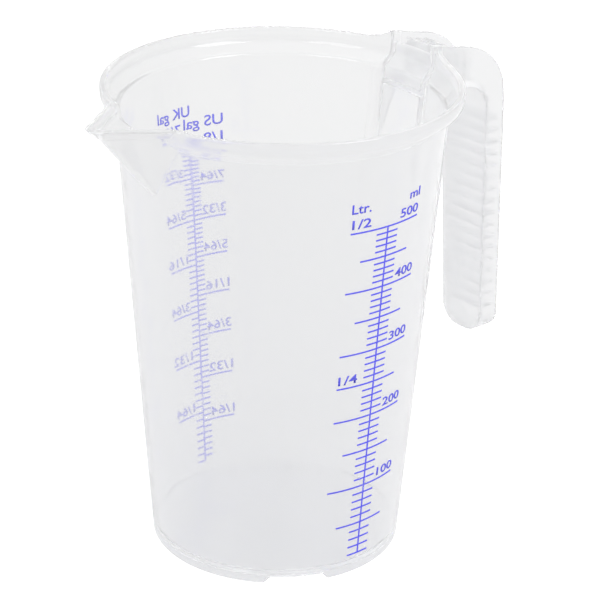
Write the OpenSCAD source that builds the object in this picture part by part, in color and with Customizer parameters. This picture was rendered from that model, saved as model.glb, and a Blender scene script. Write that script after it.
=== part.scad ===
// Half litre measuring jug in clear polypropylene, with a hooked handle and printed scales.
// Millimetres. The base stands on z = 0, the jug's axis is Z, the handle points to +X
// and the spout to -X. The litre scale faces -Y and the gallon scale faces +Y.

/* [Body] */
// Height of the rim above the table
jug_h = 137.5; // [120:0.5:170]
// Outer diameter where the wall meets the foot line
foot_d = 71.7; // [60:0.1:78]
// Outer diameter of the wall where the rim flare starts
shoulder_d = 92.3; // [84:0.1:98]
// Height of the flared band, from the shoulder up to the lip
flare_h = 5.3; // [3:0.1:8]
// Thickness of the wall
wall_t = 1.55; // [1.2:0.05:2.2]
// Height of the inner floor above the table
floor_h = 3.6; // [3:0.1:6]
// Thickness of the floor
floor_t = 1.3; // [1:0.1:2]
// Radius where the floor runs into the wall, inside
floor_fillet = 1.3; // [0.8:0.1:2.5]

/* [Foot] */
// Radius of the outer edge that the jug stands on
foot_round = 0.8; // [0.3:0.1:1.2]
// Number of drain notches in the foot
notch_count = 3; // [2:1:4]
// Angle that a notch takes at the table
notch_deg = 31; // [20:1:40]
// Angle that a notch takes at its top
notch_top_deg = 24; // [10:1:30]
// Diameter of the shallow well round the moulding gate, under the floor
gate_d = 22; // [14:1:30]
// Depth of that well
gate_depth = 0.4; // [0.2:0.1:0.6]
// Diameter of the gate mark in its centre
gate_mark_d = 3.2; // [2:0.1:5]

/* [Rim] */
// Outer diameter of the rim
rim_d = 100.3; // [97:0.1:106]
// Height of the upright lip on top of the flare
lip_h = 2.2; // [1.5:0.1:3.5]
// Thickness of the lip
lip_t = 1.8; // [1.4:0.1:2.4]
// Radius on the lip's upper edges
lip_round = 0.6; // [0.3:0.1:0.7]

/* [Spout] */
// How far the tip of the spout stands out from the rim
spout_out = 15.65; // [12:0.05:22]
// Width of the spout where its sides leave the rim
spout_w = 26.6; // [22:0.2:32]
// Height at which the keel of the spout leaves the wall
keel_foot_h = 114.6; // [108:0.2:120]
// Radius of the keel, outside
keel_r = 3.3; // [2.4:0.1:4.5]
// Thickness of the spout's sides
spout_t = 1.5; // [1.2:0.1:1.9]
// How far the spout's upper edge stands out as a bead, at the tip
spout_bead = 1.1; // [0.5:0.1:1.6]

/* [Handle] */
// Width of the handle at the neck
handle_w = 19.2; // [16:0.2:24]
// Width of the grip just above its rounded end
grip_end_w = 16.4; // [13:0.2:18]
// Distance from the axis to the finger side of the grip, at the top of its straight part
grip_x = 69.9; // [66:0.1:78]
// Depth of the grip, from the finger side to the back
grip_depth = 7; // [6:0.1:10]
// Angle at which the grip leans out towards its end
grip_lean = 2.5; // [0:0.5:4]
// Height of the grip's lower end above the table
grip_end_h = 43.5; // [30:0.5:60]
// Radius of the two corners of that end, seen from the handle side
grip_end_r = 6.5; // [4:0.1:7.5]
// Depth of the neck, from the rim down to its underside
neck_drop = 11.9; // [9:0.1:16]
// Radius of the inner corner between neck and grip
inner_r = 9; // [6:0.5:14]
// Radius of the outer corner between neck and grip
outer_r = 18.2; // [14:0.2:22]
// Height of the neck's side walls over the rim, where they cross the lip
neck_rise = 2.6; // [1.5:0.1:4]
// Slope of the neck's upper edges, down towards the grip
neck_slope = 12; // [6:1:18]
// Thickness of the web that the fingers touch
web_t = 1.7; // [1.3:0.1:2.2]
// Thickness of the side walls along both edges of the handle
side_t = 1.7; // [1.3:0.1:2.2]
// Radius on the back corner of the grip's end
end_back_r = 3; // [1.5:0.1:4]
// Radius of the fillets between the side walls and the jug's wall
root_r = 4; // [2:0.5:6]
// Angle round the rim over which the raised neck runs out into the lip
ramp_deg = 13; // [8:1:18]
// Height at which the gussets under the neck end on the wall
gusset_end_h = 92; // [80:1:105]
// How far the gussets stand out from the wall under the neck
gusset_out = 6.5; // [4:0.5:9]
// Depth of the gussets' hollow curve
gusset_hollow = 2.2; // [1:0.1:3]

/* [Handle ribs] */
// Thickness of the cross ribs in the handle's channel
rib_t = 1.1; // [0.8:0.1:1.6]
// Step from one rib to the next along the grip
grip_rib_pitch = 3.8; // [3:0.1:5]
// Number of ribs along the grip
grip_rib_count = 17; // [10:1:18]
// Step from one rib to the next along the neck
neck_rib_pitch = 3.3; // [3:0.1:4.5]
// Number of ribs across the neck
neck_rib_count = 3; // [2:1:3]
// How far the ribs stay below the edges of the side walls
rib_inset = 1.6; // [0.8:0.1:2.5]

/* [Scales] */
// Thickness of the printed ink
ink_t = 0.12; // [0.08:0.02:0.2]
// Width of the printed lines
line_w = 0.45; // [0.35:0.05:0.7]
// Half length of the lines at every 100 ml
long_tick = 12; // [10:0.5:14]
// Half length of the lines at every 50 ml
medium_tick = 8.3; // [6:0.1:9.5]
// Half length of the lines at every 10 ml
short_tick = 3.7; // [2:0.1:5]
// Highest line of the litre scale, in ml
full_ml = 500; // [400:100:500]
// Direction of the gallon scale, seen from above
gallon_dir = 87.7; // [80:0.1:100]
// Length of the labelled lines on the gallon scale's US side
us_tick = 11; // [8:0.5:12]
// Length of the labelled lines on its UK side
uk_tick = 10.5; // [8:0.5:12]
// Length of its short lines
gallon_short = 2.9; // [2:0.1:4]

/* [Hidden] */
$fn = 96;

clear_pp = [0.90, 0.91, 0.92];
print_blue = [0.35, 0.34, 0.92];

// Radii and heights of the shell
foot_r = foot_d / 2;
shoulder_r = shoulder_d / 2;
rim_r = rim_d / 2;
shoulder_h = jug_h - lip_h - flare_h;
draft = (shoulder_r - foot_r) / shoulder_h;
draft_deg = atan(draft);
under_floor_h = floor_h - floor_t;
// The inner curve of the flare sits a little higher, so that the slanted wall keeps its thickness
flare_lift = 0.45;
lip_base_h = jug_h - lip_h;
past = 10;

// Outer and inner radius of the tapered wall at a height
function wall_r(z) = foot_r + draft * z;
function inner_wall_r(z) = wall_r(z) - wall_t;

// Points of an arc, from angle a0 to a1
function arc(c, r, a0, a1, n = 6) =
    [for (i = [0:n]) let (a = a0 + (a1 - a0) * i / n) c + r * [cos(a), sin(a)]];

// Direction of a vector, from 0 to 360 degrees
function turn(v) = (atan2(v[1], v[0]) + 360) % 360;

// S curve of the flare: radius against height, from (r0, z0) to (r1, z1)
function s_curve(r0, z0, r1, z1, n = 8) =
    [for (i = [0:n]) let (t = i / n) [r0 + (r1 - r0) * t * t * (3 - 2 * t), z0 + (z1 - z0) * t]];

flare_outside = s_curve(shoulder_r, shoulder_h, rim_r, lip_base_h);
flare_inside = s_curve(inner_wall_r(shoulder_h + flare_lift), shoulder_h + flare_lift,
    rim_r - lip_t, lip_base_h + flare_lift);

// Handle: the finger side and the back are two parallel lines that lean out
lean_tan = tan(grip_lean);
neck_z = jug_h - neck_drop;
inner_c = let (z = neck_z - inner_r) [grip_x - inner_r / cos(grip_lean), z];
function finger_x(z) = grip_x + (inner_c[1] - z) * lean_tan;
function back_x(z) = finger_x(z) + grip_depth / cos(grip_lean);
// The neck's upper edge starts over the lip and falls towards the grip
slope_tan = tan(neck_slope);
function edge_z(x) = jug_h + neck_rise - (x - rim_r) * slope_tan;
// Centre of the outer corner, which touches both the upper edge and the back
outer_c = let (
        a = edge_z(0) - outer_r / cos(neck_slope),
        b = back_x(0) - outer_r / cos(grip_lean),
        z = (a - slope_tan * b) / (1 - slope_tan * lean_tan))
    [b - z * lean_tan, z];

// Level of a volume in the jug, as the height of a frustum that stands on the floor
litre_ml = 1000;
floor_r = inner_wall_r(floor_h);
function level(ml) = floor_h
    + (pow(3 * draft * ml * litre_ml / PI + pow(floor_r, 3), 1 / 3) - floor_r) / draft;
uk_gallon_ml = 4546.09;
us_gallon_ml = 3785.41;
// Lines to a gallon, lines from one labelled line to the next, and the first and last of each side
gallon_parts = 512;
label_step = 8;
us_first = 2;
us_last = 64;
uk_first = 1;
uk_last = 56;
litre_dir = -90;

// Spout: its keel is a straight line from the wall up to the rim, where the bead stands out
spout_reach = rim_r + spout_out;
keel_reach = spout_reach - spout_bead;
keel_deg = atan((keel_reach - wall_r(keel_foot_h)) / (jug_h - keel_foot_h));
// Half angle of the V that touches the round keel and is spout_w wide at the rim, square to the keel
mouth = [(keel_reach - sqrt(pow(rim_r, 2) - pow(spout_w / 2, 2))) * cos(keel_deg) - keel_r,
    spout_w / 2];
v_half_deg = atan2(mouth[1], mouth[0]) - asin(keel_r / norm(mouth));

// Solid of revolution that the outside of the jug fills, without spout and handle
module jug_outside() {
    rotate_extrude()
    polygon(concat(
        [[0, 0]],
        arc([foot_r - foot_round, foot_round], foot_round, -90, 0),
        flare_outside,
        [[rim_r, jug_h], [0, jug_h]]));
}

// The spout's cross-section, thinned by d: two flat sides and a round keel
module v_section(d) {
    r = keel_r - d;
    reach = spout_reach - wall_r(0);
    touch = [keel_r - r * sin(v_half_deg), r * cos(v_half_deg)];
    side = touch[1] + (reach - touch[0]) * tan(v_half_deg);
    polygon(concat(
        [[reach, side]],
        arc([keel_r, 0], r, 90 + v_half_deg, 270 - v_half_deg, 8),
        [[reach, -side]]));
}

// The section swept along the keel, cut off level with the rim
module spout_prism(d, top = jug_h) {
    intersection() {
        translate([-keel_reach, 0, jug_h])
        rotate([0, -keel_deg, 0])
        translate([0, 0, -spout_reach])
        linear_extrude(spout_reach + past) v_section(d);
        translate([-spout_reach - past, -rim_r, top - rim_r])
        cube([rim_r + past, 2 * rim_r, rim_r]);
    }
}

// The open inside of the spout, which also cuts the wall and the rim
module spout_inside() {
    spout_prism(spout_t, jug_h + past);
}

module body_wall() {
    color(clear_pp)
    difference() {
        rotate_extrude()
        polygon([[inner_wall_r(under_floor_h), under_floor_h],
            [wall_r(under_floor_h), under_floor_h],
            [shoulder_r, shoulder_h],
            [inner_wall_r(shoulder_h), shoulder_h]]);
        spout_inside();
    }
}

module base_floor() {
    fillet_c = [inner_wall_r(floor_h + floor_fillet) - floor_fillet, floor_h + floor_fillet];
    color(clear_pp)
    difference() {
        rotate_extrude()
        polygon(concat(
            [[0, under_floor_h], [inner_wall_r(under_floor_h), under_floor_h]],
            [[inner_wall_r(floor_h + floor_fillet), floor_h + floor_fillet]],
            arc(fillet_c, floor_fillet, 0, -90),
            [[0, floor_h]]));
        gate_well();
    }
}

// Shallow well under the floor, with the gate mark standing in it
module gate_well() {
    difference() {
        translate([0, 0, under_floor_h - past]) cylinder(d = gate_d, h = past + gate_depth);
        translate([0, 0, under_floor_h]) cylinder(d = gate_mark_d, h = gate_depth + past);
    }
}

// One notch, cut outwards through the foot on the +X side
module foot_notch() {
    low = foot_r * sin(notch_deg / 2);
    high = foot_r * sin(notch_top_deg / 2);
    // The slanted sides run on for the same height below the table and above the notch
    more = low - high;
    translate([foot_r / 2, 0, 0])
    rotate([90, 0, 90])
    linear_extrude(foot_r)
    polygon([[-low - more, -under_floor_h], [more - high, 2 * under_floor_h],
        [high - more, 2 * under_floor_h], [low + more, -under_floor_h]]);
}

module foot_ring() {
    color(clear_pp)
    difference() {
        rotate_extrude()
        polygon(concat(
            [[inner_wall_r(0), 0]],
            arc([foot_r - foot_round, foot_round], foot_round, -90, 0),
            [[wall_r(under_floor_h), under_floor_h],
                [inner_wall_r(under_floor_h), under_floor_h]]));
        for (i = [0:notch_count - 1]) rotate(i * 360 / notch_count) foot_notch();
    }
}

module rim_flare() {
    color(clear_pp)
    difference() {
        rotate_extrude()
        polygon(concat(
            flare_outside,
            arc([rim_r - lip_round, jug_h - lip_round], lip_round, 0, 90),
            arc([rim_r - lip_t + lip_round, jug_h - lip_round], lip_round, 90, 180),
            [for (i = [len(flare_inside) - 1:-1:0]) flare_inside[i]],
            [[inner_wall_r(shoulder_h), shoulder_h]]));
        spout_inside();
    }
}

module pouring_spout() {
    color(clear_pp)
    difference() {
        union() {
            spout_prism(0);
            intersection() {
                spout_prism(-spout_bead * cos(keel_deg));
                translate([-2 * rim_r, -rim_r, lip_base_h]) cube([2 * rim_r, 2 * rim_r, lip_h]);
            }
        }
        spout_inside();
        jug_outside();
    }
}

// Side view of the space between the handle and the jug, grown by d
module finger_space(d) {
    polygon(concat(
        [[0, 0], [finger_x(0) + d / cos(grip_lean), 0]],
        arc(inner_c, inner_r + d, grip_lean, 90, 9),
        [[0, neck_z + d]]));
}

// Side view of the whole handle down to its end, shrunk by d, without the finger space
module handle_side(d) {
    end_z = grip_end_h + end_back_r;
    end_c = [back_x(end_z) - (d + end_back_r) / cos(grip_lean), end_z];
    difference() {
        polygon(concat(
            [[0, grip_end_h]],
            arc(end_c, end_back_r, -90, grip_lean, 5),
            arc(outer_c, outer_r - d, grip_lean, 90 - neck_slope, 12),
            [[0, edge_z(0) - d / cos(neck_slope)]]));
        finger_space(0);
    }
}

// The handle seen from the handle side, shrunk by d: it narrows to a rounded end
module handle_front(d) {
    wide = handle_w / 2 - d;
    narrow = grip_end_w / 2 - d;
    r = grip_end_r - d;
    end_z = grip_end_h + grip_end_r;
    polygon(concat(
        arc([r - narrow, end_z], r, -180, -90),
        arc([narrow - r, end_z], r, -90, 0),
        [[wide, inner_c[1]], [wide, jug_h + past], [-wide, jug_h + past],
            [-wide, inner_c[1]]]));
}

// Extrude a side view, drawn in x and z, across the handle
module across(width = 3 * handle_w) {
    translate([0, width / 2, 0]) rotate([90, 0, 0]) linear_extrude(width) children();
}

// Extrude a front view, drawn in y and z, along x
module along() {
    rotate([90, 0, 90]) linear_extrude(2 * spout_reach) children();
}

// Web and side walls of the handle in one piece
module handle_channel() {
    difference() {
        union() {
            intersection() {
                across() handle_side(0);
                along() difference() {
                    handle_front(0);
                    handle_front(side_t);
                }
            }
            intersection() {
                across() intersection() {
                    handle_side(0);
                    finger_space(web_t);
                }
                along() handle_front(0);
            }
        }
        jug_outside();
        translate([0, 0, jug_h]) cylinder(r = rim_r - lip_t, h = 2 * past);
    }
}

// Plan of the fillet between a side wall and the jug's wall at the neck's underside.
// It sinks a little into both, so that it meets them at an angle.
module root_plan() {
    sunk = 0.06;
    r = wall_r(neck_z) - sunk;
    y = handle_w / 2 - sunk;
    c = [sqrt(pow(r + root_r, 2) - pow(y + root_r, 2)), y + root_r];
    in_wall = r - 2 * root_r;
    in_side = y - side_t / 2;
    polygon(concat(
        arc(c, root_r, 270, turn(-c), 8),
        [[in_wall, c[1]], [in_wall, in_side], [c[0], in_side]]));
}

// The fillet itself, which follows the taper of the wall, on the +Y side
module root_fillet() {
    translate([0, 0, neck_z])
    rotate([0, draft_deg, 0])
    translate([0, 0, -neck_z / 2])
    linear_extrude(neck_z / 2 + neck_drop) root_plan();
}

// Part of the lip that rises to the neck's side wall, on the +Y side
module lip_ramp() {
    start = asin((handle_w / 2) / rim_r);
    run = rim_r * ramp_deg * PI / 180;
    rise = edge_z(rim_r * cos(start)) - jug_h;
    r = (run * run + rise * rise) / (2 * rise);
    // The curve dips below the lip's top, so that the ramp ends at an angle
    dip = 0.08;
    difference() {
        rotate([0, 0, start])
        rotate_extrude(angle = ramp_deg)
        translate([rim_r - lip_t, jug_h]) square([lip_t, rise]);
        rotate([0, 0, start + ramp_deg])
        translate([0, 0, jug_h + r - dip])
        rotate([0, 90, 0]) cylinder(r = r, h = 2 * rim_r, $fn = 192);
        translate([0, handle_w / 2 - past, jug_h - past]) cube([2 * rim_r, past, 4 * past]);
    }
}

// Everything above the height where the neck ends and the grip starts
module neck_zone() {
    translate([0, -rim_r, inner_c[1]]) cube([2 * rim_r, 2 * rim_r, jug_h]);
}

module handle_neck() {
    color(clear_pp)
    union() {
        intersection() {
            handle_channel();
            neck_zone();
        }
        for (side = [0, 1]) mirror([0, side, 0]) {
            difference() {
                intersection() {
                    root_fillet();
                    translate([0, 0, neck_z]) cube([2 * rim_r, rim_r, lip_base_h - neck_z]);
                }
                jug_outside();
            }
            lip_ramp();
        }
    }
}

module handle_grip() {
    color(clear_pp)
    difference() {
        handle_channel();
        neck_zone();
    }
}

// Side view of the gussets: a long hollow curve from the neck's underside down to the wall
module gusset_side() {
    top = [wall_r(neck_z) + gusset_out, neck_z];
    low = [inner_wall_r(gusset_end_h), gusset_end_h];
    half = norm(top - low) / 2;
    r = (half * half + gusset_hollow * gusset_hollow) / (2 * gusset_hollow);
    out = [top[1] - low[1], low[0] - top[0]] / (2 * half);
    c = (top + low) / 2 + out * (r - gusset_hollow);
    polygon(concat(
        arc(c, r, turn(top - c), turn(low - c), 10),
        [[0, gusset_end_h], [0, neck_z]]));
}

module neck_gussets() {
    color(clear_pp)
    for (side = [0, 1]) mirror([0, side, 0])
    difference() {
        intersection() {
            across() gusset_side();
            union() {
                translate([0, handle_w / 2 - side_t, 0]) cube([2 * rim_r, side_t, neck_z]);
                root_fillet();
            }
            cube([2 * rim_r, rim_r, neck_z]);
        }
        // The gussets run out at a shallow angle, which needs a finely divided wall
        jug_outside($fn = 360);
    }
}

// Fills the channel between the side walls wherever the side view given as child is
module channel_ribs() {
    intersection() {
        across() intersection() {
            difference() {
                handle_side(rib_inset);
                finger_space(web_t);
            }
            children();
        }
        along() handle_front(side_t);
    }
}

module neck_ribs() {
    first_x = rim_r + neck_rib_pitch;
    color(clear_pp)
    channel_ribs()
    for (i = [0:neck_rib_count - 1])
        translate([first_x + i * neck_rib_pitch, neck_z]) square([rib_t, 2 * neck_drop]);
}

module grip_ribs() {
    first_z = inner_c[1] - grip_rib_pitch;
    color(clear_pp)
    channel_ribs()
    for (i = [0:grip_rib_count - 1])
        translate([grip_x, first_z - i * grip_rib_pitch]) square([2 * grip_depth, rib_t]);
}

// The film of ink, all round the wall
module ink_film() {
    rotate_extrude()
    polygon([[wall_r(floor_h), floor_h], [wall_r(floor_h) + ink_t, floor_h],
        [wall_r(lip_base_h) + ink_t, lip_base_h], [wall_r(lip_base_h), lip_base_h]]);
}

// What is left of the film where a flat drawing of the print, given as child, falls on the wall
module print_on_wall(direction) {
    color(print_blue)
    intersection() {
        rotate([0, 0, direction]) along() children();
        ink_film();
    }
}

// Distance straight across to a point at an arc length round from the scale's axis
function straight(z, s) = wall_r(z) * sin(s / wall_r(z) * 180 / PI);

// A printed line at a height, from arc length s0 to s1
module tick(z, s0, s1) {
    from = straight(z, s0);
    translate([from, z - line_w / 2]) square([straight(z, s1) - from, line_w]);
}

// The upright axis of a scale, out to the outer edges of its lowest and highest lines
module scale_axis(z0, z1) {
    translate([-line_w / 2, z0 - line_w / 2]) square([line_w, z1 - z0 + line_w]);
}

function is_multiple(ml, step) = ml % step == 0;

module litre_scale() {
    print_on_wall(litre_dir)
    union() {
        scale_axis(level(10), level(full_ml));
        for (ml = [10:10:full_ml]) {
            right = is_multiple(ml, 100) ? long_tick : is_multiple(ml, 50) ? medium_tick : short_tick;
            left = ml == full_ml / 2 ? long_tick : right;
            tick(level(ml), -left, right);
        }
    }
}

// Lines of one gallon scale, towards one side of the axis
module gallon_side(gallon_ml, first, last, labelled_tick, side) {
    for (i = [first:last]) {
        reach = is_multiple(i, label_step) ? labelled_tick : gallon_short;
        tick(level(gallon_ml * i / gallon_parts), side > 0 ? 0 : -reach, side > 0 ? reach : 0);
    }
}

module gallon_scale() {
    print_on_wall(gallon_dir)
    union() {
        scale_axis(level(uk_gallon_ml * uk_first / gallon_parts),
            level(uk_gallon_ml * uk_last / gallon_parts));
        gallon_side(us_gallon_ml, us_first, us_last, us_tick, -1);
        gallon_side(uk_gallon_ml, uk_first, uk_last, uk_tick, 1);
    }
}

body_wall();
base_floor();
foot_ring();
rim_flare();
pouring_spout();
handle_neck();
handle_grip();
neck_gussets();
neck_ribs();
grip_ribs();
litre_scale();
gallon_scale();
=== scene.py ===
"""Half litre measuring jug in natural polypropylene, with blue printed scales.

The moulding is modelled in millimetres, from the same sizes as the CAD model, and brought to
metres when it is finished. The jug's axis is Z, the handle points to +X and the spout to -X.
"""
import math
import bpy
from mathutils import Matrix, Vector


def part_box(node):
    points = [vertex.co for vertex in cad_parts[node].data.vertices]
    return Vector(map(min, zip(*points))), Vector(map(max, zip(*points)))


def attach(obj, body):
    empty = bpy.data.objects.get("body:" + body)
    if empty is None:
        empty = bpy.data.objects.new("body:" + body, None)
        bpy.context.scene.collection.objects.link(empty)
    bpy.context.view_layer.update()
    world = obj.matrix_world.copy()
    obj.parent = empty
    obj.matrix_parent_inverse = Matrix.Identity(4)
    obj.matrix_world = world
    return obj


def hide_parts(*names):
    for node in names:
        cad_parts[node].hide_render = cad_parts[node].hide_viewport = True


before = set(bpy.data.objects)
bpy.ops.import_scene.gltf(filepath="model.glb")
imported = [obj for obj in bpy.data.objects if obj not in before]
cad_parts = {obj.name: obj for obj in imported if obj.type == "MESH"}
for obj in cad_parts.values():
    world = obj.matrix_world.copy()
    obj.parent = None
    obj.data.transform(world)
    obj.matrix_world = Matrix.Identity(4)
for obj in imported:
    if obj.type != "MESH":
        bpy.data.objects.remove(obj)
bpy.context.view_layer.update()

MM = 0.001

# Sizes in millimetres. The body
JUG_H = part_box("rim_flare")[1].z / MM
FOOT_R = 35.85
SHOULDER_R = 46.15
SHOULDER_H = 130.0
FLARE_LOW_BEND = 1.2
FLARE_HIGH_BEND = 2.9
RIM_R = 50.15
WALL_T = 1.55
LIP_H = 2.2
LIP_T = 1.8
LIP_ROUND = 0.6
FLOOR_H = 3.6
UNDER_FLOOR_H = 2.3
FLOOR_FILLET = 1.3
FOOT_ROUND = 0.8
FOOT_CHAMFER = 0.2
FOOT_TAPER = 0.1
GATE_WELL_R = 11.0
GATE_WELL_DEPTH = 0.4
GATE_MARK_R = 1.6
NOTCH_COUNT = 3
NOTCH_DEG = 31.0
NOTCH_TOP_DEG = 24.0

# The spout
SPOUT_REACH = 65.8
SPOUT_W = 26.6
SPOUT_BEAD = 1.1
SPOUT_T = 1.5
KEEL_R = 3.3
KEEL_FOOT_H = 114.6
SPOUT_LOW_H = KEEL_FOOT_H - 3 * LIP_H
SPOUT_CUT_H = 60

# The handle
HANDLE_W = 19.2
GRIP_END_W = 16.4
GRIP_X = 69.9
GRIP_DEPTH = 7.0
GRIP_LEAN = math.radians(2.5)
GRIP_END_H = 43.5
GRIP_END_R = 6.5
END_BACK_R = 3.0
NECK_DROP = 11.9
NECK_RISE = 2.6
NECK_SLOPE = math.radians(12)
HANDLE_ROOT_X = 40.0
INNER_R = 9.0
OUTER_R = 18.2
WEB_T = 1.7
SIDE_T = 1.7
ROOT_R = 4.0
ROOT_SUNK = 0.06
RAMP_DEG = 13.0
RAMP_OVERLAP_DEG = 1.0
RAMP_INSET = 0.02
GUSSET_END_H = 92.0
GUSSET_OUT = 6.5
GUSSET_HOLLOW = 2.2
GUSSET_ROOT_X = HANDLE_ROOT_X - 5
GUSSET_INSET = 0.01
RIB_T = 1.1
RIB_INSET = 1.6
GRIP_RIB_PITCH = 3.8
GRIP_RIB_COUNT = 17
NECK_RIB_PITCH = 3.3
NECK_RIB_COUNT = 3

# How finely round forms are divided
TURNS = 192
INK_TURNS = 720
WALL_RINGS = 12
ARC_STEPS = 8
SMALL_ARC_STEPS = 5
FLOOR_FILLET_STEPS = 6
KEEL_STEPS = 12
INNER_CORNER_STEPS = 12
OUTER_CORNER_STEPS = 16
GUSSET_STEPS = 14
ROOT_STEPS = 10
RAMP_STEPS = 16
RAMP_CUTTER_SIDES = 512
LETTER_STEPS = 4

# Rounding of edges, from which angle they are sharp, and up to which faces are shaded smooth
EDGE_ROUND = 0.45
EDGE_SEGMENTS = 3
BEAD_SHARP_DEG = 60
HANDLE_SHARP_DEG = 40
SMOOTH_DEG = 32
# Points closer than this are merged, in one outline and in the finished shell
MERGE = 1e-4
SHELL_MERGE = 2e-3
# How deep the handle and the spout are sunk into the wall and the lip before they are joined to them
SUNK = WALL_T / 2
LIP_SUNK = LIP_T - 0.1
# How far cutting pieces reach past what they cut, and the height at which helping cones start
PAST = 30.0
CONE_LOW_H = 1

DRAFT = (SHOULDER_R - FOOT_R) / SHOULDER_H
DRAFT_ANGLE = math.atan(DRAFT)
LIP_BASE_H = JUG_H - LIP_H
NECK_Z = JUG_H - NECK_DROP
KEEL_REACH = SPOUT_REACH - SPOUT_BEAD


def wall_r(z):
    """Outer radius of the tapered wall at a height."""
    return FOOT_R + DRAFT * z


def inner_wall_r(z):
    return wall_r(z) - WALL_T


# Plane outlines

def arc(centre, radius, start, end, steps=ARC_STEPS):
    """Points on an arc between two angles in degrees."""
    angles = [math.radians(start + (end - start) * i / steps) for i in range(steps + 1)]
    return [(centre[0] + radius * math.cos(a), centre[1] + radius * math.sin(a)) for a in angles]


def flare_lines():
    """Outer and inner line of the flare: two bends with a straight slope, as thick as the wall
    measured across the jug, and thicker towards the lip."""
    low_c = (SHOULDER_R + FLARE_LOW_BEND * math.cos(DRAFT_ANGLE),
             SHOULDER_H - FLARE_LOW_BEND * math.sin(DRAFT_ANGLE))
    high_c = (RIM_R - FLARE_HIGH_BEND, LIP_BASE_H)
    gap_r, gap_z = high_c[0] - low_c[0], high_c[1] - low_c[1]
    both = FLARE_LOW_BEND + FLARE_HIGH_BEND
    slope = math.sqrt(gap_r ** 2 + gap_z ** 2 - both ** 2)
    lean = math.degrees(math.atan2(gap_r * slope + gap_z * both, gap_z * slope - gap_r * both))
    outside = (arc(low_c, FLARE_LOW_BEND, 180 - math.degrees(DRAFT_ANGLE), 180 - lean)
               + arc(high_c, FLARE_HIGH_BEND, -lean, 0))
    flare_h = LIP_BASE_H - SHOULDER_H
    inside = [(r - WALL_T - (LIP_T - WALL_T) * (z - SHOULDER_H) / flare_h, z) for r, z in outside]
    return outside, inside


# Modelling steps

def deselect():
    bpy.ops.object.select_all(action="DESELECT")


def activate(piece):
    deselect()
    piece.select_set(True)
    bpy.context.view_layer.objects.active = piece


def start_point(name, place):
    """A new mesh that is one vertex, left open in edit mode."""
    deselect()
    bpy.ops.mesh.primitive_plane_add(size=1, location=place)
    piece = bpy.context.object
    piece.name = name
    bpy.ops.object.transform_apply(location=True, rotation=False, scale=False)
    bpy.ops.object.mode_set(mode="EDIT")
    bpy.ops.mesh.select_mode(type="VERT")
    bpy.ops.mesh.select_all(action="SELECT")
    bpy.ops.mesh.merge(type="CENTER")
    return piece


def draw_outline(name, points, closed=True):
    """Extrudes a vertex from point to point, and closes the loop unless it ends on the axis."""
    places = [Vector(p) for p in points]
    piece = start_point(name, places[0])
    for here, there in zip(places, places[1:]):
        bpy.ops.mesh.extrude_region_move(TRANSFORM_OT_translate={"value": there - here})
    if closed:
        bpy.ops.mesh.extrude_region_move(TRANSFORM_OT_translate={"value": places[0] - places[-1]})
        bpy.ops.mesh.select_all(action="SELECT")
        bpy.ops.mesh.remove_doubles(threshold=MERGE)
    return piece


def extruded(name, points, along):
    """A solid that is a closed outline pushed along a vector."""
    piece = draw_outline(name, points)
    bpy.ops.mesh.select_all(action="SELECT")
    bpy.ops.mesh.edge_face_add()
    bpy.ops.mesh.extrude_region_move(TRANSFORM_OT_translate={"value": along})
    bpy.ops.mesh.select_all(action="SELECT")
    bpy.ops.mesh.normals_make_consistent(inside=False)
    bpy.ops.object.mode_set(mode="OBJECT")
    return piece


def across(name, outline, half_width):
    """A side view, drawn in x and z, pushed across the handle."""
    points = [(x, -half_width, z) for x, z in outline]
    return extruded(name, points, (0, 2 * half_width, 0))


def lengthwise(name, outline, start, length):
    """A front view, drawn in y and z, pushed along x."""
    points = [(start, y, z) for y, z in outline]
    return extruded(name, points, (length, 0, 0))


def turned(name, outline, start_angle=0.0, angle=2 * math.pi, steps=TURNS):
    """A solid turned round the jug's axis from a closed outline of radius and height."""
    full = angle >= 2 * math.pi
    across_axis = Vector((math.cos(start_angle), math.sin(start_angle), 0))
    points = [across_axis * r + Vector((0, 0, z)) for r, z in outline]
    on_axis = outline[0][0] == 0 and outline[-1][0] == 0
    piece = draw_outline(name, points, closed=not on_axis)
    bpy.ops.mesh.select_all(action="SELECT")
    if not full:
        bpy.ops.mesh.edge_face_add()
    bpy.ops.mesh.spin(steps=steps, angle=angle, center=(0, 0, 0), axis=(0, 0, -1))
    bpy.ops.mesh.select_all(action="SELECT")
    bpy.ops.mesh.remove_doubles(threshold=MERGE)
    bpy.ops.mesh.normals_make_consistent(inside=False)
    bpy.ops.object.mode_set(mode="OBJECT")
    return piece


def combine(piece, other, operation):
    """Joins, cuts or trims a piece with another, which is used up."""
    activate(piece)
    step = piece.modifiers.new(operation.lower(), "BOOLEAN")
    step.operation = operation
    step.solver = "EXACT"
    step.object = other
    bpy.ops.object.modifier_apply(modifier=step.name)
    bpy.data.objects.remove(other)
    return piece


def mirrored_copy(piece):
    """A copy on the other side of the plane through spout and handle."""
    activate(piece)
    bpy.ops.object.duplicate()
    twin = bpy.context.object
    bpy.ops.object.mode_set(mode="EDIT")
    bpy.ops.mesh.select_all(action="SELECT")
    bpy.ops.transform.mirror(constraint_axis=(False, True, False), orient_type="GLOBAL",
                             center_override=(0, 0, 0))
    bpy.ops.mesh.normals_make_consistent(inside=False)
    bpy.ops.object.mode_set(mode="OBJECT")
    return twin


def soften(piece, sharp_deg):
    """Rounds the edges of a piece that turn by more than an angle."""
    activate(piece)
    bevel = piece.modifiers.new("soft edges", "BEVEL")
    bevel.width = EDGE_ROUND
    bevel.segments = EDGE_SEGMENTS
    bevel.limit_method = "ANGLE"
    bevel.angle_limit = math.radians(sharp_deg)
    bevel.miter_outer = "MITER_ARC"
    bpy.ops.object.modifier_apply(modifier=bevel.name)


# The jug's body

flare_outside, flare_inside = flare_lines()


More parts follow.
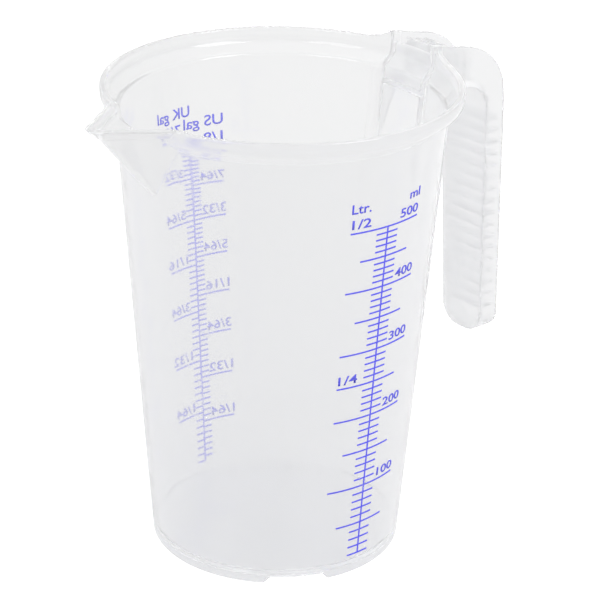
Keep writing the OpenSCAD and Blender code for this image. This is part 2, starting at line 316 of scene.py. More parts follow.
def straight_wall(radius_at, low, high):
    """Points up the wall, so that its long faces are divided."""
    heights = [low + (high - low) * i / WALL_RINGS for i in range(1, WALL_RINGS)]
    return [(radius_at(z), z) for z in heights]


def body_outline():
    """Half of the body's section, from the middle of its underside round to the middle of its floor."""
    fillet_top = FLOOR_H + FLOOR_FILLET
    fillet_c = (inner_wall_r(fillet_top) - FLOOR_FILLET, fillet_top)
    foot_in = inner_wall_r(0)
    inside_wall = straight_wall(inner_wall_r, fillet_top, SHOULDER_H)
    return (
        [(0, UNDER_FLOOR_H), (GATE_MARK_R, UNDER_FLOOR_H),
         (GATE_MARK_R, UNDER_FLOOR_H + GATE_WELL_DEPTH),
         (GATE_WELL_R, UNDER_FLOOR_H + GATE_WELL_DEPTH), (GATE_WELL_R, UNDER_FLOOR_H),
         (foot_in + FOOT_TAPER, UNDER_FLOOR_H), (foot_in, FOOT_CHAMFER), (foot_in + FOOT_CHAMFER, 0)]
        + arc((FOOT_R - FOOT_ROUND, FOOT_ROUND), FOOT_ROUND, -90, 0, SMALL_ARC_STEPS)
        + straight_wall(wall_r, FOOT_ROUND, SHOULDER_H)
        + flare_outside
        + arc((RIM_R - LIP_ROUND, JUG_H - LIP_ROUND), LIP_ROUND, 0, 90, SMALL_ARC_STEPS)
        + arc((RIM_R - LIP_T + LIP_ROUND, JUG_H - LIP_ROUND), LIP_ROUND, 90, 180, SMALL_ARC_STEPS)
        + flare_inside[::-1]
        + inside_wall[::-1]
        + arc(fillet_c, FLOOR_FILLET, 0, -90, FLOOR_FILLET_STEPS)
        + [(GATE_WELL_R, FLOOR_H), (0, FLOOR_H)])


def core():
    """Everything inside a surface that lies in the middle of the wall."""
    return turned("core", [(0, CONE_LOW_H), (wall_r(CONE_LOW_H) - SUNK, CONE_LOW_H)]
                  + [(r - SUNK, z) for r, z in flare_outside]
                  + [(RIM_R - LIP_SUNK, LIP_BASE_H), (RIM_R - LIP_SUNK, JUG_H + PAST),
                     (0, JUG_H + PAST)])


def foot_notch(turn):
    """A wedge that cuts one drain notch through the foot."""
    low = FOOT_R * math.sin(math.radians(NOTCH_DEG / 2))
    high = FOOT_R * math.sin(math.radians(NOTCH_TOP_DEG / 2))
    lowest = 2 * low - high
    top = UNDER_FLOOR_H
    outline = [(-lowest, -top), (lowest, -top), (high, top), (-high, top)]
    notch = lengthwise("notch", outline, FOOT_R / 2, FOOT_R)
    notch.rotation_euler.z = math.radians(turn)
    return notch


def jug_body():
    body = turned("jug_moulding", body_outline())
    for i in range(NOTCH_COUNT):
        combine(body, foot_notch(i * 360 / NOTCH_COUNT), "DIFFERENCE")
    return body


# The spout

def spout_section():
    """Lean of the keel and half angle of the V, square to the keel, in radians."""
    lean = math.atan((KEEL_REACH - wall_r(KEEL_FOOT_H)) / (JUG_H - KEEL_FOOT_H))
    rim_x = math.sqrt(RIM_R ** 2 - (SPOUT_W / 2) ** 2)
    mouth = Vector(((KEEL_REACH - rim_x) * math.cos(lean) - KEEL_R, SPOUT_W / 2))
    half = math.atan2(mouth.y, mouth.x) - math.asin(KEEL_R / mouth.length)
    return lean, half


def spout_wedge(name, inset, low, high):
    """The spout's V with its round keel, swept along the keel between two heights."""
    lean, half = spout_section()
    radius = KEEL_R - inset
    reach = SPOUT_REACH - FOOT_R
    touch = (KEEL_R - radius * math.sin(half), radius * math.cos(half))
    side = touch[1] + (reach - touch[0]) * math.tan(half)
    degrees = math.degrees(half)
    outline = ([(reach, side)] + arc((KEEL_R, 0), radius, 90 + degrees, 270 - degrees, KEEL_STEPS)
               + [(reach, -side)])
    inward = Vector((math.cos(lean), 0, math.sin(lean)))
    keel = Vector((-math.sin(lean), 0, math.cos(lean)))
    tip = Vector((-KEEL_REACH, 0, JUG_H))
    start = tip - keel * SPOUT_REACH
    points = [start + inward * x + Vector((0, y, 0)) for x, y in outline]
    wedge = extruded(name, points, keel * (SPOUT_REACH + PAST))
    activate(wedge)
    bpy.ops.object.mode_set(mode="EDIT")
    for height, keep_above in ((low, True), (high, False)):
        bpy.ops.mesh.select_all(action="SELECT")
        bpy.ops.mesh.bisect(plane_co=(0, 0, height), plane_no=(0, 0, 1), use_fill=True,
                            clear_inner=keep_above, clear_outer=not keep_above)
    bpy.ops.object.mode_set(mode="OBJECT")
    return wedge


def spout():
    """The spout's outside, which the body is joined with before the inside is cut."""
    lean, _ = spout_section()
    sides = spout_wedge("spout", 0, SPOUT_LOW_H, JUG_H)
    bead = spout_wedge("bead", -SPOUT_BEAD * math.cos(lean), LIP_BASE_H, JUG_H)
    soften(bead, BEAD_SHARP_DEG)
    combine(sides, bead, "UNION")
    return combine(sides, core(), "DIFFERENCE")


# The handle

def finger_x(z):
    """Distance from the axis to the finger side of the grip."""
    return GRIP_X + (NECK_Z - INNER_R - z) * math.tan(GRIP_LEAN)


def back_x(z):
    return finger_x(z) + GRIP_DEPTH / math.cos(GRIP_LEAN)


def edge_z(x):
    """Height of the neck's upper edges."""
    return JUG_H + NECK_RISE - (x - RIM_R) * math.tan(NECK_SLOPE)


inner_c = (GRIP_X - INNER_R / math.cos(GRIP_LEAN), NECK_Z - INNER_R)
lean_deg = math.degrees(GRIP_LEAN)
slope_deg = math.degrees(NECK_SLOPE)


def outer_corner_centre():
    a = edge_z(0) - OUTER_R / math.cos(NECK_SLOPE)
    b = back_x(0) - OUTER_R / math.cos(GRIP_LEAN)
    z = (a - math.tan(NECK_SLOPE) * b) / (1 - math.tan(NECK_SLOPE) * math.tan(GRIP_LEAN))
    return (b - z * math.tan(GRIP_LEAN), z)


def finger_line(grow, low):
    """The neck's underside, the inner corner and the finger side, grown by a distance."""
    return ([(HANDLE_ROOT_X, NECK_Z + grow)]
            + arc(inner_c, INNER_R + grow, 90, lean_deg, INNER_CORNER_STEPS)
            + [(finger_x(low) + grow / math.cos(GRIP_LEAN), low)])


def back_line(shrink, low):
    """The outer edge from the grip's end up to the neck, shrunk by a distance."""
    end_z = GRIP_END_H + END_BACK_R
    end_c = (back_x(end_z) - (shrink + END_BACK_R) / math.cos(GRIP_LEAN), end_z)
    return (arc(end_c, END_BACK_R, -90, lean_deg, SMALL_ARC_STEPS)
            + arc(outer_corner_centre(), OUTER_R - shrink, lean_deg, 90 - slope_deg,
                  OUTER_CORNER_STEPS)
            + [(HANDLE_ROOT_X, edge_z(HANDLE_ROOT_X) - shrink / math.cos(NECK_SLOPE))])


def handle_front(inset):
    """Outline of the handle seen from the handle side."""
    wide = HANDLE_W / 2 - inset
    narrow = GRIP_END_W / 2 - inset
    radius = GRIP_END_R - inset
    end_z = GRIP_END_H + GRIP_END_R
    return (arc((radius - narrow, end_z), radius, -180, -90)
            + arc((narrow - radius, end_z), radius, -90, 0)
            + [(wide, inner_c[1]), (wide, JUG_H + PAST), (-wide, JUG_H + PAST),
               (-wide, inner_c[1])])


def handle_channel():
    """Web and side walls of the handle."""
    handle = across("handle", finger_line(0, GRIP_END_H) + back_line(0, GRIP_END_H), HANDLE_W)
    combine(handle, lengthwise("front", handle_front(0), HANDLE_ROOT_X - PAST, 3 * PAST),
            "INTERSECT")
    beyond = 2 * PAST
    hollow_side = (finger_line(WEB_T, 0)
                   + [(back_x(0) + beyond, 0), (back_x(0) + beyond, JUG_H + beyond),
                      (HANDLE_ROOT_X, JUG_H + beyond)])
    hollow = across("hollow", hollow_side, HANDLE_W)
    combine(hollow, lengthwise("hollow_front", handle_front(SIDE_T), 0, 3 * PAST + beyond),
            "INTERSECT")
    return combine(handle, hollow, "DIFFERENCE")


def block(low_corner, high_corner):
    """A block between two corners."""
    low, high = Vector(low_corner), Vector(high_corner)
    deselect()
    bpy.ops.mesh.primitive_cube_add(size=1, location=(low + high) / 2)
    made = bpy.context.object
    made.scale = high - low
    bpy.ops.object.transform_apply(location=True, rotation=False, scale=True)
    return made


def handle_ribs():
    """All cross ribs of the channel, trimmed to its inside and joined in one mesh."""
    half = HANDLE_W / 2
    slabs = []
    for i in range(NECK_RIB_COUNT):
        x = RIM_R + (i + 1) * NECK_RIB_PITCH
        slabs.append(block((x, -half, NECK_Z), (x + RIB_T, half, JUG_H + NECK_RISE)))
    for i in range(GRIP_RIB_COUNT):
        z = inner_c[1] - (i + 1) * GRIP_RIB_PITCH
        slabs.append(block((GRIP_X, -half, z), (back_x(0), half, z + RIB_T)))
    deselect()
    for slab in slabs:
        slab.select_set(True)
    bpy.context.view_layer.objects.active = slabs[0]
    bpy.ops.object.join()
    ribs = bpy.context.object
    inside = across("inside", finger_line(WEB_T / 2, GRIP_END_H + SIDE_T)
                    + back_line(RIB_INSET, GRIP_END_H), HANDLE_W)
    combine(ribs, inside, "INTERSECT")
    return combine(ribs, lengthwise("ribs_front", handle_front(SIDE_T / 2), 0, 4 * PAST),
                   "INTERSECT")


def gusset_line():
    """Side view of a gusset, a long hollow curve to the wall, and of the fillet above it."""
    top = Vector((wall_r(NECK_Z) + GUSSET_OUT, NECK_Z))
    low = Vector((inner_wall_r(GUSSET_END_H), GUSSET_END_H))
    half = (top - low).length / 2
    radius = (half ** 2 + GUSSET_HOLLOW ** 2) / (2 * GUSSET_HOLLOW)
    out = Vector((top.y - low.y, low.x - top.x)) / (2 * half)
    centre = (top + low) / 2 + out * (radius - GUSSET_HOLLOW)
    angles = [math.degrees(math.atan2(*(p - centre).yx)) % 360 for p in (top, low)]
    curve = arc(centre, radius, angles[0], angles[1], GUSSET_STEPS)
    return ([(GUSSET_ROOT_X, LIP_BASE_H), (top.x, LIP_BASE_H), (top.x, NECK_Z)] + curve[1:]
            + [(GUSSET_ROOT_X, GUSSET_END_H)])


def root_fillet(low, high):
    """Fillet between the handle's +Y side and the jug's wall, between two heights."""
    r = wall_r(NECK_Z) - ROOT_SUNK
    y = HANDLE_W / 2 - ROOT_SUNK
    centre = Vector((math.sqrt((r + ROOT_R) ** 2 - (y + ROOT_R) ** 2), y + ROOT_R))
    end = math.degrees(math.atan2(-centre.y, -centre.x)) % 360
    into = r - 2 * ROOT_R
    plan = (arc(centre, ROOT_R, 270, end, ROOT_STEPS)
            + [(into, centre.y), (into, y - SIDE_T / 2), (centre.x, y - SIDE_T / 2)])
    up = Vector((math.sin(DRAFT_ANGLE), 0, math.cos(DRAFT_ANGLE)))
    axis_point = Vector((0, 0, NECK_Z))
    flat = [Vector((math.cos(DRAFT_ANGLE) * px, py, -math.sin(DRAFT_ANGLE) * px)) for px, py in plan]
    start = axis_point - up * NECK_Z / 2
    fillet = extruded("fillet", [start + p for p in flat], up * (NECK_Z / 2 + NECK_DROP))
    trim = block((0, 0, low), (2 * RIM_R, RIM_R, high))
    return combine(fillet, trim, "INTERSECT")


def gusset():
    """Gusset under the neck with the fillet beside it, on the +Y side."""
    plate = across("gusset", gusset_line(), HANDLE_W)
    side = block((0, HANDLE_W / 2 - SIDE_T, 0),
                 (2 * RIM_R, HANDLE_W / 2 - GUSSET_INSET, NECK_Z + WEB_T))
    combine(side, root_fillet(GUSSET_END_H - SIDE_T, LIP_BASE_H + LIP_H / 2), "UNION")
    return combine(plate, side, "INTERSECT")


def lip_ramp():
    """Where the lip rises to the neck's +Y side wall."""
    start = math.asin(HANDLE_W / 2 / RIM_R)
    run = RIM_R * math.radians(RAMP_DEG)
    rise = edge_z(RIM_R * math.cos(start)) - JUG_H
    radius = (run ** 2 + rise ** 2) / (2 * rise)
    base = JUG_H - LIP_H / 2
    inner, outer = RIM_R - LIP_T + RAMP_INSET, RIM_R - RAMP_INSET
    section = [(inner, base), (outer, base), (outer, JUG_H + rise), (inner, JUG_H + rise)]
    overlap = math.radians(RAMP_OVERLAP_DEG)
    ramp = turned("ramp", section, start - overlap, math.radians(RAMP_DEG) + overlap, RAMP_STEPS)
    deselect()
    end = start + math.radians(RAMP_DEG)
    bpy.ops.mesh.primitive_cylinder_add(vertices=RAMP_CUTTER_SIDES, radius=radius, depth=2 * RIM_R,
                                        location=(RIM_R * math.cos(end), RIM_R * math.sin(end),
                                                  JUG_H + radius - LIP_ROUND / 2),
                                        rotation=(0, math.pi / 2, end))
    bpy.ops.object.transform_apply(location=True, rotation=True, scale=False)
    return combine(ramp, bpy.context.object, "DIFFERENCE")


def handle():
    """Channel, ribs, gussets and ramps in one mesh, sunk into the middle of the jug's wall."""
    whole = combine(handle_channel(), handle_ribs(), "UNION")
    soften(whole, HANDLE_SHARP_DEG)
    side = gusset()
    twin = mirrored_copy(side)
    combine(whole, side, "UNION")
    combine(whole, twin, "UNION")
    combine(whole, core(), "DIFFERENCE")
    ramp = lip_ramp()
    twin = mirrored_copy(ramp)
    combine(whole, ramp, "UNION")
    return combine(whole, twin, "UNION")


# Finishing

def to_metres(piece):
    """Brings a piece from millimetres to metres, in its mesh."""
    activate(piece)
    piece.scale = (MM, MM, MM)
    bpy.ops.object.transform_apply(location=True, rotation=True, scale=True)


def shade(piece):
    activate(piece)
    bpy.ops.object.shade_smooth_by_angle(angle=math.radians(SMOOTH_DEG))


def moulding():
    """The whole moulding as one closed shell."""
    whole = jug_body()
    combine(whole, spout(), "UNION")
    combine(whole, handle(), "UNION")
    combine(whole, spout_wedge("spout_inside", SPOUT_T, SPOUT_CUT_H, JUG_H + PAST), "DIFFERENCE")
    activate(whole)
    bpy.ops.object.mode_set(mode="EDIT")
    bpy.ops.mesh.select_all(action="SELECT")
    bpy.ops.mesh.remove_doubles(threshold=SHELL_MERGE)
    bpy.ops.object.mode_set(mode="OBJECT")
    to_metres(whole)
    shade(whole)
    return whole


jug = moulding()
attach(jug, "root")
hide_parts("body_wall", "base_floor", "foot_ring", "rim_flare", "pouring_spout",
            "handle_neck", "handle_grip", "neck_gussets", "neck_ribs", "grip_ribs")


# Lettering of the scales

ML_IN_MM3 = 1000
UK_GALLON_ML = 4546.09
US_GALLON_ML = 3785.41
# Directions of the two scales round the axis, in degrees
LITRE_DIR = -90.0
GALLON_DIR = 87.7
INK_T = 0.1
# Height of a capital letter and of a figure in the built-in typeface, at size 1
CAP_SHARE = 0.682
# How much bolder than the built-in typeface the words are
LETTER_WEIGHT = 0.04


def level(ml):
    """Height of the liquid at a volume: the inside is a cone that stands on the floor."""
    floor_r = inner_wall_r(FLOOR_H)
    cube = floor_r ** 3 + 3 * DRAFT * ml * ML_IN_MM3 / math.pi
    return FLOOR_H + (cube ** (1 / 3) - floor_r) / DRAFT


def printed_word(text, start, end, baseline, cap, direction):
    """A flat word in front of the wall, between two arc lengths right of the scale's axis."""
    deselect()
    bpy.ops.object.text_add(location=(0, 0, 0))
    word = bpy.context.object
    word.data.body = text
    word.data.align_x = "CENTER"
    word.data.resolution_u = LETTER_STEPS
    word.data.size = cap / CAP_SHARE
    word.data.offset = LETTER_WEIGHT
    bpy.ops.object.convert(target="MESH")
    word = bpy.context.object
    left = min(v.co.x for v in word.data.vertices)
    right = max(v.co.x for v in word.data.vertices)
    bpy.ops.object.mode_set(mode="EDIT")
    bpy.ops.mesh.select_all(action="SELECT")
    bpy.ops.transform.translate(value=(-(left + right) / 2, 0, 0))
    bpy.ops.transform.resize(value=((end - start) / (right - left), 1, 1),
                             center_override=(0, 0, 0))
    bpy.ops.object.mode_set(mode="OBJECT")
    radius = wall_r(baseline)
    angle = math.radians(direction) + (start + end) / 2 / radius
    outward = Vector((math.cos(angle), math.sin(angle), -DRAFT)).normalized()
    level_axis = Vector((-math.sin(angle), math.cos(angle), 0))
    upright = outward.cross(level_axis)
    turn = Matrix((level_axis, upright, outward)).transposed().to_4x4()
    foot = Vector((radius * math.cos(angle), radius * math.sin(angle), baseline))
    word.matrix_world = Matrix.Translation(foot + outward) @ turn
    return word


def lettering(name, words, direction):
    """All words of one scale as thin ink that lies on the jug's wall, in one mesh."""
    made = [printed_word(*word, direction) for word in words]
    wall = turned("wall", [(0, CONE_LOW_H), (wall_r(CONE_LOW_H), CONE_LOW_H),
                           (wall_r(JUG_H), JUG_H), (0, JUG_H)], steps=INK_TURNS)
    for word in made:
        activate(word)
        wrap = word.modifiers.new("onto the wall", "SHRINKWRAP")
        wrap.wrap_method = "PROJECT"
        wrap.use_project_z = True
        wrap.use_negative_direction = True
        wrap.use_positive_direction = True
        wrap.target = wall
        bpy.ops.object.modifier_apply(modifier=wrap.name)
        film = word.modifiers.new("film", "SOLIDIFY")
        film.thickness = INK_T
        film.offset = 1
        bpy.ops.object.modifier_apply(modifier=film.name)
        bpy.ops.object.transform_apply(location=True, rotation=True, scale=True)
    bpy.data.objects.remove(wall)
    deselect()
    for word in made:
        word.select_set(True)
    bpy.context.view_layer.objects.active = made[0]
    bpy.ops.object.join()
    piece = bpy.context.object
    piece.name = name
    to_metres(piece)
    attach(piece, "root")
    return piece


# Starts and ends of the litre scale's labels, gap above their lines, and heights of their figures
LITRE_START, LITRE_END = -11.7, -5.8
ML_START, ML_START_100, ML_END = 4.5, 4.9, 12.1
LITRE_GAP = 1.2
LITRE_CAP = 2.6
ML_CAP = 2.5


def litre_words():
    """Figures beside the litre scale, as text, start, end, baseline and height."""
    words = [("Ltr.", -12.1, -6.2, 114.9, 2.7), ("1/2", LITRE_START, LITRE_END, 110.4, LITRE_CAP),
             ("ml", 7.9, 12.4, 115.0, ML_CAP),
             ("1/4", LITRE_START, LITRE_END, level(250) + LITRE_GAP, LITRE_CAP)]
    for ml in range(100, 501, 100):
        start = ML_START_100 if ml == 100 else ML_START
        words.append((str(ml), start, ML_END, level(ml) + LITRE_GAP, ML_CAP))
    return words


US_LABELS = ("1/64", "1/32", "3/64", "1/16", "5/64", "3/32", "7/64", "1/8")
# Widths of labels of four and of three characters, and how the gallon scale's labels are placed
WIDE_LABEL = 8.2
NARROW_LABEL = 6.3
US_START = -11.25
UK_END = 11.35
GALLON_GAP = 1.1
GALLON_CAP = 2.7


def gallon_words():
    """Figures beside the gallon scale: US gallons on the left of it, UK gallons on the right."""
    words = [("UK gal", -0.4, 12.4, 114.3, 3.1), ("US gal", -11.5, 1.95, 110.4, 3.1)]
    for i, label in enumerate(US_LABELS):
        width = WIDE_LABEL if len(label) == 4 else NARROW_LABEL
        us_base = level(US_GALLON_ML * (i + 1) / 64) + GALLON_GAP
        words.append((label, US_START, US_START + width, us_base, GALLON_CAP))
        if label != US_LABELS[-1]:
            uk_base = level(UK_GALLON_ML * (i + 1) / 64) + GALLON_GAP
            words.append((label, UK_END - width, UK_END, uk_base, GALLON_CAP))
    return words


litre_lettering = lettering("litre_lettering", litre_words(), LITRE_DIR)
gallon_lettering = lettering("gallon_lettering", gallon_words(), GALLON_DIR)


# Materials

def new_material(name):
    material = bpy.data.materials.new(name)
    material.use_nodes = True
    nodes = material.node_tree.nodes
    return material, nodes, material.node_tree.links, nodes["Principled BSDF"]


def arithmetic(nodes, links, operation, *values):
    """A Math node on numbers or sockets."""
    node = nodes.new("ShaderNodeMath")
    node.operation = operation
    for socket, value in zip(node.inputs, values):
        if isinstance(value, (int, float)):
            socket.default_value = value
        else:
            links.new(value, socket)
    return node.outputs[0]


def ranged(nodes, links, value, low, high, to_low, to_high, smooth=True):
    """A Map Range node; its limits are numbers or sockets."""
    node = nodes.new("ShaderNodeMapRange")
    if smooth:
        node.interpolation_type = "SMOOTHSTEP"
    for name, number in (("From Min", low), ("From Max", high), ("To Min", to_low),
                         ("To Max", to_high)):
        if isinstance(number, (int, float)):
            node.inputs[name].default_value = number
        else:
            links.new(number, node.inputs[name])
    links.new(value, node.inputs["Value"])
    return node.outputs["Result"]


def object_place(nodes, links):
    """The X, Y and Z outputs of the place on the object, in metres."""
    place = nodes.new("ShaderNodeTexCoord")
    split = nodes.new("ShaderNodeSeparateXYZ")
    links.new(place.outputs["Object"], split.inputs["Vector"])
    return split.outputs


def moulded_surface():
    """Group: relief and gloss of a moulded skin, with flow lines that run up from the gate."""
    group = bpy.data.node_groups.new("moulded_surface", "ShaderNodeTree")
    sockets = group.interface
    for name, value in (("Flow", 0.5), ("Scratches", 0.5), ("Gloss Low", 0.03), ("Gloss High", 0.12)):
        socket = sockets.new_socket(name, in_out="INPUT", socket_type="NodeSocketFloat")
        socket.default_value = value
    for name in ("Height", "Roughness"):
        sockets.new_socket(name, in_out="OUTPUT", socket_type="NodeSocketFloat")
    nodes, links = group.nodes, group.links
    given, result = nodes.new("NodeGroupInput"), nodes.new("NodeGroupOutput")
    place = nodes.new("ShaderNodeTexCoord")

    def noise(stretch, scale, detail):
        """Noise on the object, stretched along its axes."""
        mapping = nodes.new("ShaderNodeMapping")
        mapping.inputs["Scale"].default_value = stretch
        links.new(place.outputs["Object"], mapping.inputs["Vector"])
        texture = nodes.new("ShaderNodeTexNoise")
        texture.inputs["Scale"].default_value = scale
        texture.inputs["Detail"].default_value = detail
        links.new(mapping.outputs["Vector"], texture.inputs["Vector"])
        return texture.outputs["Fac"]

    flow = arithmetic(nodes, links, "MULTIPLY", noise((1, 1, 0.12), 260, 3), given.outputs["Flow"])
    level_marks = ranged(nodes, links, noise((1, 1, 14), 160, 2), 0.66, 0.7, 0.0, 0.6)
    upright_marks = ranged(nodes, links, noise((9, 9, 0.5), 150, 2), 0.68, 0.72, 0.0, 0.5)
    scratches = arithmetic(nodes, links, "MULTIPLY",
                           arithmetic(nodes, links, "ADD", level_marks, upright_marks),
                           given.outputs["Scratches"])
    links.new(arithmetic(nodes, links, "ADD", flow, scratches), result.inputs["Height"])
    haze = ranged(nodes, links, noise((1, 1, 0.5), 90, 5), 0.35, 0.7, given.outputs["Gloss Low"],
                  given.outputs["Gloss High"])
    links.new(haze, result.inputs["Roughness"])
    return group


# Depth of the relief, in metres, and the share of it that shows
RELIEF = 0.00002
RELIEF_STRENGTH = 0.4
# Creases are rounded by these radii at the spout, which starts at an X and a Z, and at the handle,
# which starts at an X, in metres
SPOUT_CREASE_R = 0.001
SPOUT_START_X = -0.0425
SPOUT_START_Z = 0.112
HANDLE_CREASE_R = 0.0006
HANDLE_START_X = 0.043
CREASE_SAMPLES = 4


def rounded_creases(nodes, links):
    """The normal of the plastic, rounded where spout and handle meet the wall."""
    place = object_place(nodes, links)
    at_spout = arithmetic(nodes, links, "MULTIPLY",
                          arithmetic(nodes, links, "LESS_THAN", place["X"], SPOUT_START_X),
                          arithmetic(nodes, links, "GREATER_THAN", place["Z"], SPOUT_START_Z))
    at_handle = arithmetic(nodes, links, "GREATER_THAN", place["X"], HANDLE_START_X)
    radius = arithmetic(nodes, links, "MULTIPLY_ADD", at_spout, SPOUT_CREASE_R,
                        arithmetic(nodes, links, "MULTIPLY", at_handle, HANDLE_CREASE_R))
    edges = nodes.new("ShaderNodeBevel")
    edges.samples = CREASE_SAMPLES
    links.new(radius, edges.inputs["Radius"])
    return edges.outputs["Normal"]


def skin(nodes, links, shader, group, values, normal=None):
    """Places the surface group on a shader, with its own values and on its own normal."""
    surface = nodes.new("ShaderNodeGroup")
    surface.node_tree = group
    for name, value in values.items():
        surface.inputs[name].default_value = value
    bump = nodes.new("ShaderNodeBump")
    bump.inputs["Strength"].default_value = RELIEF_STRENGTH
    bump.inputs["Distance"].default_value = RELIEF
    links.new(surface.outputs["Height"], bump.inputs["Height"])
    if normal is not None:
        links.new(normal, bump.inputs["Normal"])
    links.new(bump.outputs["Normal"], shader.inputs["Normal"])
    links.new(surface.outputs["Roughness"], shader.inputs["Roughness"])


def blend(nodes, links, share, first, second):
    """Mixes two shaders by a share, which is a number or a socket."""
    mix = nodes.new("ShaderNodeMixShader")
    if isinstance(share, float):
        mix.inputs["Fac"].default_value = share
    else:
        links.new(share, mix.inputs["Fac"])
    links.new(first, mix.inputs[1])
    links.new(second, mix.inputs[2])
    return mix.outputs["Shader"]


# Scattering per metre of way through the plastic, at its skin, and at the thicker handle's skin
MILKY_DEPTH = 280
MILKY_SKIN = 0.08
MILKY_HANDLE = 0.26
# The skin turns from the wall's to the handle's between these places on X, in metres
HANDLE_SKIN_FROM = 0.042
HANDLE_SKIN_TO = 0.052
PLASTIC_IOR = 1.49
CLEAR_COLOUR = (0.993, 0.994, 0.997, 1)
CLOUD_COLOUR = (0.965, 0.967, 0.972, 1)
# What one surface lets through of the windows' light, and of light from all round
WINDOW_LIGHT = (0.89, 0.892, 0.897, 1)
SKY_LIGHT = (0.985, 0.986, 0.99, 1)


def coloured(nodes, kind, colour):
    """A shader of one plain colour."""
    shader = nodes.new(kind)
    shader.inputs["Color"].default_value = colour
    return shader.outputs["BSDF"]


def polypropylene(group):
    """Natural polypropylene: clear, with a milky share that grows with the way through it.

    The way is the length of the ray that meets the surface from inside.
    """
    material, nodes, links, clear = new_material("natural_polypropylene")
    clear.inputs["Base Color"].default_value = CLEAR_COLOUR
    clear.inputs["Transmission Weight"].default_value = 1.0
    clear.inputs["IOR"].default_value = PLASTIC_IOR
    skin(nodes, links, clear, group, {"Flow": 0.6, "Scratches": 0.5, "Gloss Low": 0.01,
                                      "Gloss High": 0.05}, rounded_creases(nodes, links))
    rays = nodes.new("ShaderNodeLightPath")
    inside = nodes.new("ShaderNodeNewGeometry").outputs["Backfacing"]
    clear_share = arithmetic(nodes, links, "EXPONENT",
                             arithmetic(nodes, links, "MULTIPLY", rays.outputs["Ray Length"],
                                        -MILKY_DEPTH))
    deep = arithmetic(nodes, links, "MULTIPLY", inside,
                      arithmetic(nodes, links, "SUBTRACT", 1.0, clear_share))
    milky_skin = ranged(nodes, links, object_place(nodes, links)["X"], HANDLE_SKIN_FROM,
                        HANDLE_SKIN_TO, MILKY_SKIN, MILKY_HANDLE)
    outside = arithmetic(nodes, links, "SUBTRACT", 1.0, inside)
    share = arithmetic(nodes, links, "MULTIPLY_ADD", outside, milky_skin, deep)
    cloud = blend(nodes, links, inside, coloured(nodes, "ShaderNodeBsdfDiffuse", CLOUD_COLOUR),
                  coloured(nodes, "ShaderNodeBsdfTranslucent", CLOUD_COLOUR))
    plastic = blend(nodes, links, share, clear.outputs["BSDF"], cloud)
    lit = blend(nodes, links, rays.outputs["Is Shadow Ray"], plastic,
                coloured(nodes, "ShaderNodeBsdfTransparent", WINDOW_LIGHT))
    final = blend(nodes, links, rays.outputs["Is Diffuse Ray"], lit,
                  coloured(nodes, "ShaderNodeBsdfTransparent", SKY_LIGHT))
    links.new(final, nodes["Material Output"].inputs["Surface"])
    return material


# The ink where it is thin, where it covers, and in light that comes through it
THIN_INK = (0.26, 0.26, 1.0, 1)
FULL_INK = (0.18, 0.175, 1.0, 1)
LIT_INK = (0.24, 0.24, 0.99, 1)
LIT_INK_SHARE = 0.4
COVER_SCALE = 900


def printed_ink(group):
    """Blue ink with an uneven cover, thin enough to glow a little when light comes through it."""
    material, nodes, links, shader = new_material("blue_ink")
    skin(nodes, links, shader, group, {"Flow": 0.3, "Scratches": 0.3, "Gloss Low": 0.25,
                                       "Gloss High": 0.5})
    place = nodes.new("ShaderNodeTexCoord")
    cover = nodes.new("ShaderNodeTexNoise")
    cover.inputs["Scale"].default_value = COVER_SCALE
    cover.inputs["Detail"].default_value = 3
    links.new(place.outputs["Object"], cover.inputs["Vector"])
    tone = nodes.new("ShaderNodeValToRGB")
    tone.color_ramp.elements[0].position = 0.35
    tone.color_ramp.elements[0].color = THIN_INK
    tone.color_ramp.elements[1].position = 0.55
    tone.color_ramp.elements[1].color = FULL_INK
    links.new(cover.outputs["Fac"], tone.inputs["Fac"])
    links.new(tone.outputs["Color"], shader.inputs["Base Color"])
    final = blend(nodes, links, LIT_INK_SHARE, shader.outputs["BSDF"],
                  coloured(nodes, "ShaderNodeBsdfTranslucent", LIT_INK))
    links.new(final, nodes["Material Output"].inputs["Surface"])
    return material


surface_group = moulded_surface()
jug.data.materials.clear()
jug.data.materials.append(polypropylene(surface_group))
ink = printed_ink(surface_group)
for piece in (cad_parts["litre_scale"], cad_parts["gallon_scale"], litre_lettering,
              gallon_lettering):
    piece.data.materials.clear()
    piece.data.materials.append(ink)


# Camera, floor and light

CAMERA_AZIMUTH = math.radians(-40.187)
CAMERA_ELEVATION = math.radians(24.104)
CAMERA_ROLL = math.radians(1.193)
CAMERA_DISTANCE = 0.721025
CAMERA_LENS = 151.83
AIM_RIGHT = 0.006014
AIM_UP = 0.003095
# Strength of the world as light and where it is seen, and how far the jug shows the seen one
SKY_STRENGTH = 0.75
BACKDROP_STRENGTH = 1.0
BACKDROP_IN_JUG = 0.25
TABLE_SIZE = 6
# The table's colour at two places on X, painted darker towards -X and lighter towards +X as painted
# shade and light that the jug shows through it, what is added where it is seen, and how far in the jug
TABLE_LEFT_X = -0.2
TABLE_RIGHT_X = 0.3
TABLE_LEFT = 0.54
TABLE_RIGHT = 0.78
TABLE_ROUGHNESS = 0.7
TABLE_LIFT = 0.5
TABLE_LIFT_IN_JUG = 0.45
# Name, place, size and power of the two windows, which face this height of the jug
WINDOWS = (("window_left", (-0.77, -0.07, 0.92), (0.6, 0.7), 2.8),
           ("window_right", (0.2, -0.745, 0.92), (0.5, 0.7), 4.1))
WINDOW_AIM_H = 0.07


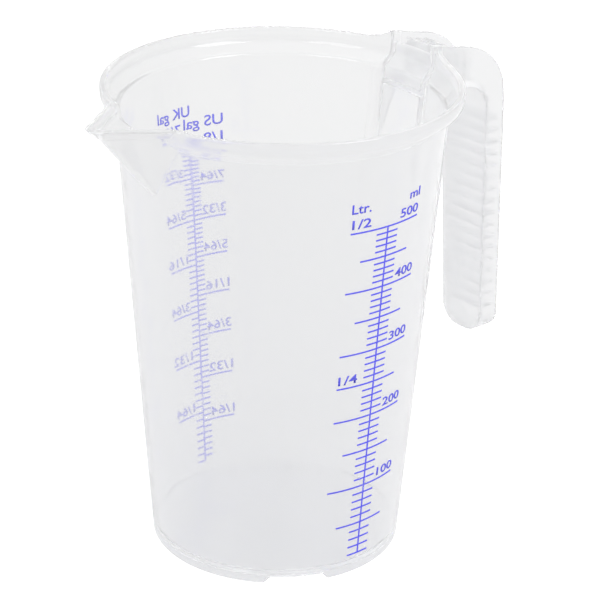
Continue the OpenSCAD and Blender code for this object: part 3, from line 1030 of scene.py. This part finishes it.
def camera():
    """The photograph's camera, which looks a little to the right of the jug's middle."""
    a, e = CAMERA_AZIMUTH, CAMERA_ELEVATION
    back = Vector((math.sin(a) * math.cos(e), -math.cos(a) * math.cos(e), math.sin(e)))
    right = Vector((math.cos(a), math.sin(a), 0))
    up = back.cross(right)
    middle = Vector((0, 0, JUG_H * MM / 2))
    aim = middle + right * AIM_RIGHT + up * AIM_UP
    place = middle + back * CAMERA_DISTANCE
    look = (place - aim).normalized()
    horizon = Vector((0, 0, 1)).cross(look).normalized()
    upright = look.cross(horizon)
    c, s = math.cos(CAMERA_ROLL), math.sin(CAMERA_ROLL)
    x_axis = horizon * c + upright * s
    y_axis = upright * c - horizon * s
    turn = Matrix((x_axis, y_axis, look)).transposed().to_4x4()
    deselect()
    bpy.ops.object.camera_add()
    eye = bpy.context.object
    eye.name = "camera"
    eye.data.lens = CAMERA_LENS
    eye.data.clip_start = 0.01
    eye.matrix_world = Matrix.Translation(place) @ turn
    bpy.context.scene.camera = eye


def seen_rays(nodes, links, jug_share):
    """A mask that is 1 where the camera sees a surface, and a share of it in and through the jug."""
    rays = nodes.new("ShaderNodeLightPath")
    jug_ray = arithmetic(nodes, links, "MAXIMUM", rays.outputs["Is Glossy Ray"],
                         rays.outputs["Is Transmission Ray"])
    return arithmetic(nodes, links, "MAXIMUM", rays.outputs["Is Camera Ray"],
                      arithmetic(nodes, links, "MULTIPLY", jug_ray, jug_share))


def studio_world():
    """Plain white all round where it is seen, and a little less as light."""
    world = bpy.data.worlds.new("studio")
    bpy.context.scene.world = world
    world.use_nodes = True
    nodes, links = world.node_tree.nodes, world.node_tree.links
    backdrop = nodes["Background"]
    backdrop.inputs["Color"].default_value = (1, 1, 1, 1)
    strength = ranged(nodes, links, seen_rays(nodes, links, BACKDROP_IN_JUG), 0, 1, SKY_STRENGTH,
                      BACKDROP_STRENGTH, smooth=False)
    links.new(strength, backdrop.inputs["Strength"])


def table_top():
    """A white table: what it lacks to plain white is added where it is seen, so shadows stay."""
    deselect()
    bpy.ops.mesh.primitive_plane_add(size=TABLE_SIZE, location=(0, 0, 0))
    top = bpy.context.object
    top.name = "table_top"
    material, nodes, links, shader = new_material("white_table")
    # Painted shade and light: the table's colour runs from dark at -X to light at +X, so the jug looks
    # darker on its left and lighter on its right
    painted_shade_ramp = ranged(nodes, links, object_place(nodes, links)["X"], TABLE_LEFT_X, TABLE_RIGHT_X,
                  TABLE_LEFT, TABLE_RIGHT, smooth=False)
    links.new(painted_shade_ramp, shader.inputs["Base Color"])
    shader.inputs["Roughness"].default_value = TABLE_ROUGHNESS
    shader.inputs["Emission Color"].default_value = (1, 1, 1, 1)
    lift = arithmetic(nodes, links, "MULTIPLY", seen_rays(nodes, links, TABLE_LIFT_IN_JUG),
                      TABLE_LIFT)
    links.new(lift, shader.inputs["Emission Strength"])
    top.data.materials.append(material)


def lamp(name, place, size, power):
    deselect()
    bpy.ops.object.light_add(type="AREA", location=place)
    light = bpy.context.object
    light.name = name
    light.data.shape = "RECTANGLE"
    light.data.size, light.data.size_y = size
    light.data.energy = power
    look = Vector((0, 0, WINDOW_AIM_H)) - Vector(place)
    light.rotation_euler = look.to_track_quat("-Z", "Y").to_euler()


camera()
studio_world()
table_top()
for window in WINDOWS:
    lamp(*window)
bpy.context.scene.view_settings.view_transform = "Standard"

# Thick parts mirror and bend light many times inside before it comes out
paths = bpy.context.scene.cycles
paths.max_bounces = 32
paths.transmission_bounces = 32
paths.glossy_bounces = 24
paths.diffuse_bounces = 8
paths.transparent_max_bounces = 48
